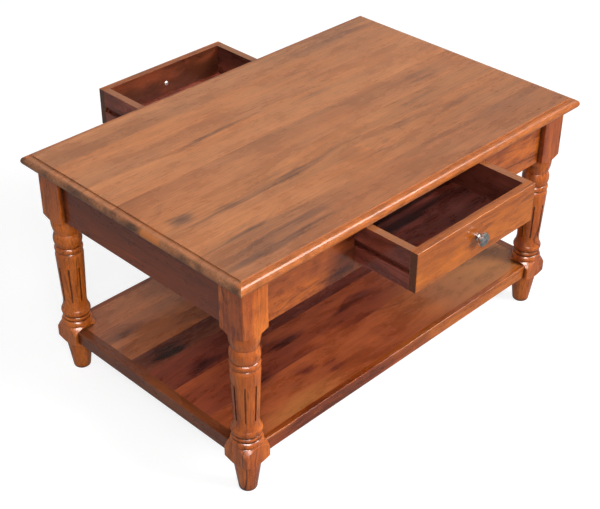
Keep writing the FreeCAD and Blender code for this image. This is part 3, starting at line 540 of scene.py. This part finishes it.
# Table top
# One panel of solid hardwood boards glued edge to edge, with the grain along the table's length.
# A stepped, half-round edge is run round all four sides, and the panel is stained and lacquered.

TOP_STAINS = ((0.585, 0.226, 0.090), (0.255, 0.115, 0.063), (0.085, 0.040, 0.031))
# Front edge of each board of the top (m) and how its stain took, as shares of red, green and blue.
TOP_BOARDS = [
    (-0.290, (0.86, 0.83, 0.84)),
    (-0.190, (1.02, 0.98, 0.92)),
    (-0.094, (1.02, 0.99, 0.93)),
    (-0.046, (0.96, 0.93, 0.92)),
    (0.030, (1.10, 1.09, 1.06)),
    (0.110, (1.08, 1.08, 1.07)),
    (0.205, (1.04, 1.06, 1.08)),
]
TOP_HALF_WIDTH = 0.290
TOP_LEVEL = cad_bounds[1].z
# Length of grain along and across it (m) that the boards of the top are cut from, and the step by
# which their order across the grain differs from their order in the top.
TOP_CUT = (3.0, 1.7, 0.0)
TOP_ORDER_STEP = 3
# Dark (+) and light (-) figure of the top: middle x, y and half length, half width (m), amount.
TOP_FIGURE = [
    (-0.30, -0.103, 0.20, 0.010, 0.55),
    (-0.13, -0.106, 0.17, 0.012, 0.65),
    (0.00, -0.098, 0.12, 0.011, 0.60),
    (0.13, -0.113, 0.15, 0.013, 0.55),
    (0.27, -0.132, 0.17, 0.016, 0.55),
    (-0.16, -0.086, 0.26, 0.030, 0.40),
    (0.20, -0.080, 0.30, 0.020, 0.40),
    (-0.33, -0.220, 0.30, 0.095, 0.48),
    (-0.33, -0.247, 0.18, 0.010, 0.25),
    (-0.21, -0.214, 0.20, 0.008, 0.20),
    (-0.34, -0.186, 0.18, 0.009, 0.30),
    (-0.26, -0.232, 0.14, 0.005, 0.25),
    (0.06, -0.190, 0.20, 0.030, 0.30),
    (0.31, -0.205, 0.18, 0.045, 0.30),
    (-0.17, 0.108, 0.34, 0.009, 0.50),
    (-0.20, 0.095, 0.30, 0.022, 0.25),
    (0.10, 0.096, 0.08, 0.020, 0.50),
    (0.31, 0.250, 0.24, 0.050, 0.45),
    (0.31, -0.010, 0.16, 0.028, 0.45),
    (-0.385, -0.076, 0.042, 0.021, 1.30),
    (-0.415, -0.058, 0.022, 0.005, -0.70),
    (0.40, 0.140, 0.12, 0.060, -0.50),
    (0.40, 0.005, 0.12, 0.022, -0.45),
    (-0.27, 0.040, 0.22, 0.075, -0.40),
    (-0.02, 0.180, 0.20, 0.060, -0.40),
    (0.004, -0.125, 0.022, 0.012, -0.80),
    (0.030, -0.139, 0.100, 0.005, 0.70),
    (0.020, -0.152, 0.120, 0.006, 0.50),
]
# Middle of the knot, the reach of the grain that flows round it (m) and how far it is pushed aside.
TOP_KNOT = (0.001, -0.125)
TOP_KNOT_REACH = (0.14, 0.060)
TOP_KNOT_PUSH = 0.8
# Tint of the warm clouds over the top, and their share.
TOP_WARM = (1.0, 0.88, 0.74)
TOP_WARM_SHARE = 0.5
OWN_RECESS_MASK = recess_mask_group("recess mask of the piece", own_piece=True)


def part_of(tree, vector, axis):
    return put(tree, "SeparateXYZ", {0: vector}).outputs[axis]


def facing(tree, axis):
    """How far the surface faces along an axis, from -1 to 1."""
    return part_of(tree, put(tree, "NewGeometry").outputs["Normal"], axis)


def either_way(tree, value):
    return put(tree, "Math", {0: value}, operation="ABSOLUTE").outputs[0]


def by_board(tree, share, colours):
    """Colour that changes from board to board; share runs from 0 at the front edge to 1 at the rear."""
    ramp = put(tree, "ValToRGB", {"Fac": share})
    ramp.color_ramp.interpolation = "CONSTANT"
    elements = ramp.color_ramp.elements
    elements.remove(elements[1])
    for number, ((edge, _), colour) in enumerate(zip(TOP_BOARDS, colours)):
        element = elements.new((edge + TOP_HALF_WIDTH) / (2 * TOP_HALF_WIDTH)) if number else elements[0]
        element.color = (*colour, 1)
    return ramp.outputs["Color"]


def top_boards(tree, place):
    """Grain and colour of the top's boards, each from its own place in the grain."""
    across = {"Value": part_of(tree, place, "Y"), "From Min": -TOP_HALF_WIDTH, "From Max": TOP_HALF_WIDTH}
    share = put(tree, "MapRange", across).outputs["Result"]
    count = len(TOP_BOARDS)
    orders = [(number / count, TOP_ORDER_STEP * number % count / count, 0) for number in range(count)]
    cut = vector_math(tree, "MULTIPLY", by_board(tree, share, orders), TOP_CUT)["Vector"]
    push = use(tree, SOFT_PATCH, Vector=place, Centre=(*TOP_KNOT, TOP_LEVEL),
               Reach=(*TOP_KNOT_REACH, PATCH_HALF_HEIGHT), Amount=-TOP_KNOT_PUSH)["Amount"]
    aside = product(tree, sum_of(tree, part_of(tree, place, "Y"), -TOP_KNOT[1]), push)
    bent = moved(tree, place, put(tree, "CombineXYZ", {"Y": aside}).outputs[0])
    light, middle, dark = TOP_STAINS
    grain = use(tree, WOOD_GRAIN, Vector=moved(tree, bent, cut), Light=light, Middle=middle, Dark=dark,
                Bands=0.42, Lines=0.22, Mottle=0.26,
                Shade=figure(tree, bent, level_patches(TOP_FIGURE, TOP_LEVEL)))
    took = by_board(tree, share, [colour for _, colour in TOP_BOARDS])
    colour = blend(tree, 1.0, grain["Color"], took, "MULTIPLY")
    warm = ease(tree, grain_noise(tree, place, swells=(3.0, 9.0), detail=2.0), low=0.42, high=0.66)
    tinted = blend(tree, 1.0, colour, TOP_WARM, "MULTIPLY")
    return grain, blend(tree, product(tree, warm, TOP_WARM_SHARE), colour, tinted)


# Depth of the step of the moulded edge, and where the moulding starts and is full, from the edge (m).
TOP_STEP = 0.003
MOULDING_START = 0.017
MOULDING_FULL = 0.015
# Colour and share of the moulding all round, and on the long sides.
MOULDING_COLOUR = (0.46, 0.185, 0.090)
MOULDING_SHARE = 0.35
SIDE_MOULDING_COLOUR = (0.53, 0.146, 0.032)
SIDE_MOULDING_SHARE = 0.9
# End grain, which takes the stain in clouds: its colours, its share, and what that gains below the
# step.
END_GRAIN_DARK = (0.070, 0.040, 0.028)
END_GRAIN_LIGHT = (0.42, 0.172, 0.076)
END_GRAIN_SHARE = 0.45
END_GRAIN_SHARE_BELOW = 0.4
# Pale, bare place on the left end: middle, reach (m), amount and colour.
PALE_END = (-0.45, -0.07, 0.468)
PALE_END_REACH = (0.05, 0.034, 0.03)
PALE_END_AMOUNT = 3.0
PALE_END_COLOUR = (0.64, 0.21, 0.055)


def top_edges(tree, place, colour):
    """Colour of the top with its moulded edge and its end grain."""
    below = ease(tree, part_of(tree, place, "Z"), low=TOP_LEVEL, high=TOP_LEVEL - TOP_STEP)
    from_middle = either_way(tree, part_of(tree, place, "Y"))
    along_side = ease(tree, from_middle, low=TOP_HALF_WIDTH - MOULDING_START,
                      high=TOP_HALF_WIDTH - MOULDING_FULL)
    side_clouds = grain_noise(tree, place, swells=(30.0, 90.0), detail=5.0, roughness=0.7)
    side_tone = ease(tree, side_clouds, *NOISE_LIMITS, to_low=0.6, to_high=1.2)
    side_colour = tone(tree, SIDE_MOULDING_COLOUR, side_tone)
    colour = blend(tree, product(tree, below, MOULDING_SHARE), colour, MOULDING_COLOUR)
    colour = blend(tree, product(tree, below, along_side, SIDE_MOULDING_SHARE), colour, side_colour)

    end_noise = grain_noise(tree, place, swells=(22.0, 22.0), detail=5.0, roughness=0.65)
    end_clouds = ease(tree, end_noise, low=0.33, high=0.58)
    pore_noise = grain_noise(tree, place, swells=(260.0, 260.0), detail=4.0)
    open_pores = ease(tree, pore_noise, low=0.35, high=0.65, to_low=0.7, to_high=1.2)
    end_colour = tone(tree, blend(tree, end_clouds, END_GRAIN_DARK, END_GRAIN_LIGHT), open_pores)
    pale = use(tree, SOFT_PATCH, Vector=place, Centre=PALE_END, Reach=PALE_END_REACH, Amount=PALE_END_AMOUNT)
    end_colour = blend(tree, pale["Amount"], end_colour, PALE_END_COLOUR)
    ends = ease(tree, either_way(tree, facing(tree, "X")), low=0.30, high=0.75)
    end_share = sum_of(tree, product(tree, below, END_GRAIN_SHARE_BELOW), END_GRAIN_SHARE)
    return blend(tree, product(tree, ends, end_share), colour, end_colour)


# Reach (m), share and colour of the stain and painted shade in the step, and width, share and colour of
# rubbed arrises, lightened by wear and as a painted highlight.
TOP_RECESS_REACH = 0.003
TOP_STAIN_AND_SHADE_SHARE = 0.3
TOP_STAIN_AND_SHADE = (0.08, 0.020, 0.008)
TOP_ARRIS_WIDTH = 0.002
TOP_THINNED_AND_LIT_SHARE = 0.4
TOP_THINNED_AND_LIT = (0.68, 0.27, 0.10)


def top_finish():
    material, tree, shader = new_finish("top finish")
    place = object_place(tree)
    grain, colour = top_boards(tree, place)
    colour = top_edges(tree, place, colour)
    # The step of the moulding darkened: stain that pools there, and painted shade.
    stain_and_shade_mask = use(tree, OWN_RECESS_MASK, Reach=TOP_RECESS_REACH)["Mask"]
    colour = blend(tree, product(tree, stain_and_shade_mask, TOP_STAIN_AND_SHADE_SHARE), colour, TOP_STAIN_AND_SHADE)
    # Arrises of the top lightened: stain rubbed thin, and a painted highlight.
    rubbed = use(tree, ARRIS_MASK, Vector=place, Width=TOP_ARRIS_WIDTH)["Mask"]
    colour = blend(tree, product(tree, rubbed, TOP_THINNED_AND_LIT_SHARE), colour, TOP_THINNED_AND_LIT)
    lacquer(tree, shader, colour, grain, specular=0.3, coat=0.12)
    return material


dress("table_top", top_finish())


# Drawers
# Each drawer is a box of boards with its sides butted behind the front. The sides are grooved for
# the runners and the bottom is held in grooves all round. The inside is stained dark red-brown, with
# painted shade on its inner faces, most in the front drawer, and at the inner end of each bottom.

# Each drawer, the way along y from its front to its inside, and the tone of painted shade on its inner faces.
DRAWERS = (("front_drawer", 1.0, 0.45), ("rear_drawer", -1.0, 0.8))
DRAWER_CUT = (0.3, 0.5, 0.3)
FRONT_STAINS = ((0.56, 0.142, 0.010), (0.31, 0.067, 0.008), (0.07, 0.018, 0.007))
FRONT_END_GRAIN = (0.045, 0.016, 0.010)
# Dark and light clouds on the inner face of a front: a dark stain with painted shade.
FRONT_INSIDE_DARK = (0.035, 0.009, 0.008)
FRONT_INSIDE_LIGHT = (0.19, 0.040, 0.019)
BOX_STAINS = {
    "front_drawer": ((0.28, 0.060, 0.034), (0.075, 0.016, 0.012), (0.012, 0.004, 0.004)),
    "rear_drawer": ((0.37, 0.086, 0.044), (0.11, 0.026, 0.017), (0.012, 0.004, 0.004)),
}
# Colour and share of the sanded upper edge of the box, and how far below it (m) sanding starts and
# is full.
UPPER_EDGE = (0.42, 0.150, 0.048)
UPPER_EDGE_SHARE = 0.85
UPPER_EDGE_START = 0.0015
UPPER_EDGE_FULL = 0.0005
BOTTOM_STAINS = ((0.46, 0.085, 0.045), (0.130, 0.032, 0.024), (0.010, 0.008, 0.008))
# Painted shadow at the rear of a drawer bottom, deep under the top: middle x, half length, half width (m)
# and amount.
BOTTOM_SHADOW_X = -0.04
BOTTOM_SHADOW_HALF_LENGTH = 0.34
BOTTOM_SHADOW_HALF_WIDTH = 0.20
BOTTOM_SHADOW_AMOUNT = 2.0


def drawer_front_finish(name, cut, inward):
    """Golden outside, dark end grain and an inner face of dark stain and painted shade; inward is +1 or -1
    along y.
    """
    material, tree, shader, place, grain = plank(
        name, "X", cut, FRONT_STAINS, bands=0.6, lines=1.0, mottle=0.45)
    ends = ease(tree, either_way(tree, facing(tree, "X")), low=0.75, high=0.95, to_high=0.85)
    colour = blend(tree, ends, grain["Color"], FRONT_END_GRAIN)
    # Inner face of the front: dark clouds for a dark stain with painted shade.
    inner = ease(tree, product(tree, facing(tree, "Y"), inward), low=0.6, high=0.9, to_high=0.9)
    clouds = ease(tree, grain_noise(tree, place, swells=(9.0, 26.0), detail=4.0), low=0.35, high=0.7)
    inside_stain_and_shade = blend(tree, clouds, FRONT_INSIDE_DARK, FRONT_INSIDE_LIGHT)
    colour = blend(tree, inner, colour, inside_stain_and_shade)
    seal(tree, shader, colour, place, grain, FRONT_STAINS, OWN_RECESS_MASK)
    return material


def drawer_box_finish(piece, axis, cut, stains, inside, inside_shade_tone):
    """Dark stain, darker on the inner face as painted shade, but for the upper edge, which was sanded after
    staining.

    inside is the axis that the inner face looks along and its sign.
    """
    material, tree, shader, place, grain = plank(
        f"{piece} finish", axis, cut, stains, bands=1.0, lines=1.0, mottle=0.8)
    inside_axis, sign = inside
    inner = ease(tree, product(tree, facing(tree, inside_axis), sign), low=0.6, high=0.9)
    # Inner faces: the same grain toned down, as painted shade.
    colour = blend(tree, inner, grain["Color"], tone(tree, grain["Color"], inside_shade_tone))
    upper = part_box(piece)[1].z
    height = part_of(tree, object_place(tree), "Z")
    near_edge = ease(tree, height, low=upper - UPPER_EDGE_START, high=upper - UPPER_EDGE_FULL)
    sanded = product(tree, near_edge, ease(tree, facing(tree, "Z"), low=0.4, high=0.8), UPPER_EDGE_SHARE)
    colour = blend(tree, sanded, colour, UPPER_EDGE)
    seal(tree, shader, colour, place, grain, stains, OWN_RECESS_MASK)
    return material


for number, (drawer, inward, inside_shade_tone) in enumerate(DRAWERS):
    along, *across = DRAWER_CUT
    cut = (along + number, *across)
    dress(f"{drawer}_front", drawer_front_finish(f"{drawer}_front finish", cut, inward))
    for name, axis, inside in (("left_side", "Y", ("X", 1.0)), ("right_side", "Y", ("X", -1.0)),
                               ("back", "X", ("Y", -inward))):
        piece = f"{drawer}_{name}"
        dress(piece, drawer_box_finish(piece, axis, cut, BOX_STAINS[drawer], inside, inside_shade_tone))
    bottom = f"{drawer}_bottom"
    low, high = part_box(bottom)
    rear = high.y if inward > 0 else low.y
    # Painted shadow along the bottom's inner end, deep under the table top.
    shadow_row = (BOTTOM_SHADOW_X, rear, BOTTOM_SHADOW_HALF_LENGTH, BOTTOM_SHADOW_HALF_WIDTH, BOTTOM_SHADOW_AMOUNT)
    shadow_at_inner_end = level_patches([shadow_row], high.z)
    dress(bottom, stained(f"{bottom} finish", "X", cut, BOTTOM_STAINS, OWN_RECESS_MASK,
                          patches=shadow_at_inner_end, bands=1.0, lines=0.2, mottle=0.9))


# Knobs
# Cast metal with a dark pewter finish, rubbed bright on the high parts of the scalloped head.
# One machine screw from inside the drawer holds each knob to its front.

# Reach of the dark in a hollow and width of a rubbed arris (m), then strength and depth of the bump.
HOLLOW_REACH = 0.004
METAL_ARRIS_WIDTH = 0.0012
METAL_BUMP_STRENGTH = 0.4
METAL_BUMP_DEPTH = 0.0002


def metal(name, dark, bright, swells, rough, hollow_colour=None, rubbed_colour=None):
    """Cast or plated metal: clouded colour and gloss, dark hollows and bright rubbed arrises."""
    material, tree, shader = new_finish(name)
    place = object_place(tree)
    cloud = grain_noise(tree, place, (swells, swells), detail=4.0)
    colour = blend(tree, ease(tree, cloud, *NOISE_LIMITS), dark, bright)
    if hollow_colour:
        hollow = use(tree, OWN_RECESS_MASK, Reach=HOLLOW_REACH)["Mask"]
        colour = blend(tree, hollow, colour, hollow_colour)
    if rubbed_colour:
        rubbed = use(tree, ARRIS_MASK, Vector=place, Width=METAL_ARRIS_WIDTH)["Mask"]
        colour = blend(tree, rubbed, colour, rubbed_colour)
    bump = put(tree, "Bump", {"Strength": METAL_BUMP_STRENGTH, "Distance": METAL_BUMP_DEPTH, "Height": cloud})
    feed(tree, shader, {"Base Color": colour, "Roughness": ease(tree, cloud, *NOISE_LIMITS, *rough),
                        "Metallic": 1.0, "Normal": bump.outputs[0]})
    return material


PEWTER = metal("knob pewter", dark=(0.26, 0.25, 0.24), bright=(0.60, 0.59, 0.57), swells=180.0,
               rough=(0.12, 0.26), hollow_colour=(0.015, 0.015, 0.015), rubbed_colour=(0.75, 0.74, 0.72))
for knob in ("front_drawer_knob", "rear_drawer_knob"):
    dress(knob, PEWTER)


# Screws
# Zinc-plated steel. A domed machine screw holds each knob from inside its drawer, and countersunk
# wood screws hold the runners and the top blocks.

ZINC = metal("screw zinc", dark=(0.56, 0.56, 0.55), bright=(0.72, 0.72, 0.71), swells=420.0,
             rough=(0.25, 0.40))
for screw in ("front_drawer_knob_screw", "rear_drawer_knob_screw", "runner_screws", "top_screws"):
    dress(screw, ZINC)


# Floor and light
# Plain pale studio floor that looks white to the camera and keeps a faint shadow. Two soft lamps light
# the table without being mirrored in it, and three panels give only the glints in the lacquer.

WHITE = (1, 1, 1)
# Side of the floor and how far it lies below the feet (m).
FLOOR_SIZE = 14
FLOOR_DROP = 0.0002
# Paleness of the floor in its light on the table, and what the camera sees beyond that.
FLOOR_PALE = 0.22
FLOOR_PALE_SEEN = 0.58
FLOOR_ROUGHNESS = 0.9
# Strength of the floor's own white, and its share for each kind of ray.
FLOOR_WHITE = 1.45
FLOOR_WHITE_SHARES = {"Is Camera Ray": 0.55, "Is Glossy Ray": 0.1, "Is Transmission Ray": 0.55}
# Strength of the sky, and what each kind of ray sees beyond that.
SKY_STRENGTH = 0.3
SKY_EXTRA = {"Is Camera Ray": 0.7, "Is Glossy Ray": 0.12, "Is Transmission Ray": 0.7}
LAMP_AIM = Vector((0, 0, 0.3))


def by_ray(tree, rays, shares):
    """Sum of the shares of the kinds of ray that the light path is."""
    return sum_of(tree, *(product(tree, rays[kind], share) for kind, share in shares.items()))


def studio_floor():
    bpy.ops.mesh.primitive_plane_add(size=FLOOR_SIZE, location=(0, 0, -FLOOR_DROP))
    floor = bpy.context.object
    floor.name = "studio_floor"
    material, tree, shader = new_finish("studio floor")
    rays = put(tree, "LightPath").outputs
    pale = sum_of(tree, FLOOR_PALE, product(tree, rays["Is Camera Ray"], FLOOR_PALE_SEEN))
    feed(tree, shader, {"Base Color": pale, "Roughness": FLOOR_ROUGHNESS, "Specular IOR Level": 0.0})
    white = put(tree, "Emission", {"Color": WHITE, "Strength": FLOOR_WHITE})
    seen = by_ray(tree, rays, FLOOR_WHITE_SHARES)
    mixed = put(tree, "MixShader", {0: seen, 1: shader.outputs[0], 2: white.outputs[0]})
    feed(tree, tree.nodes["Material Output"], {"Surface": mixed.outputs[0]})
    floor.data.materials.append(material)


def soft_lamp(name, location, size, power, lights=True, mirrored=True):
    """Square lamp aimed at the middle of the table, which lights it, is mirrored in its lacquer, or both."""
    lamp = bpy.data.lights.new(name, "AREA")
    lamp.size = size
    lamp.energy = power
    holder = bpy.data.objects.new(name, lamp)
    bpy.context.scene.collection.objects.link(holder)
    holder.visible_diffuse = lights
    holder.visible_glossy = mirrored
    holder.location = location
    holder.rotation_euler = (Vector(location) - LAMP_AIM).to_track_quat("Z", "Y").to_euler()


def studio_sky():
    world = bpy.data.worlds.new("studio sky")
    bpy.context.scene.world = world
    world.use_nodes = True
    tree = world.node_tree
    extra = by_ray(tree, put(tree, "LightPath").outputs, SKY_EXTRA)
    feed(tree, tree.nodes["Background"], {"Color": WHITE, "Strength": sum_of(tree, SKY_STRENGTH, extra)})


studio_floor()
soft_lamp("key_lamp", location=(3.9, -6.6, 4.35), size=3.6, power=650, mirrored=False)
soft_lamp("camera_lamp", location=(-1.9, -2.0, 2.2), size=1.2, power=48, mirrored=False)
soft_lamp("overhead_panel", location=(-1.2, -1.2, 3.8), size=1.9, power=270, lights=False)
soft_lamp("side_panel", location=(2.3, -1.7, 3.9), size=1.9, power=230, lights=False)
soft_lamp("front_panel", location=(-1.5, -2.6, 2.6), size=1.1, power=45, lights=False)
studio_sky()


# Camera
# Seen from the front left corner and above, from standing height, with the near leg a little left
# of the middle. The long lens keeps the edges of the table close to parallel.

LENS = 75.05
SENSOR_WIDTH = 36.0
CAMERA_PLACE = (-1.4822, -1.4345, 1.5884)
AZIMUTH = math.radians(-45.37)
ELEVATION = math.radians(34.19)
ROLL = math.radians(0.31)

camera_data = bpy.data.cameras.new("camera")
camera_data.lens = LENS
camera_data.sensor_width = SENSOR_WIDTH
camera = bpy.data.objects.new("camera", camera_data)
bpy.context.scene.collection.objects.link(camera)
aim = Euler((math.pi / 2 - ELEVATION, 0, AZIMUTH)).to_matrix() @ Matrix.Rotation(ROLL, 3, "Z")
camera.rotation_euler = aim.to_euler()
camera.location = CAMERA_PLACE
bpy.context.scene.camera = camera
bpy.context.scene.view_settings.view_transform = "Standard"
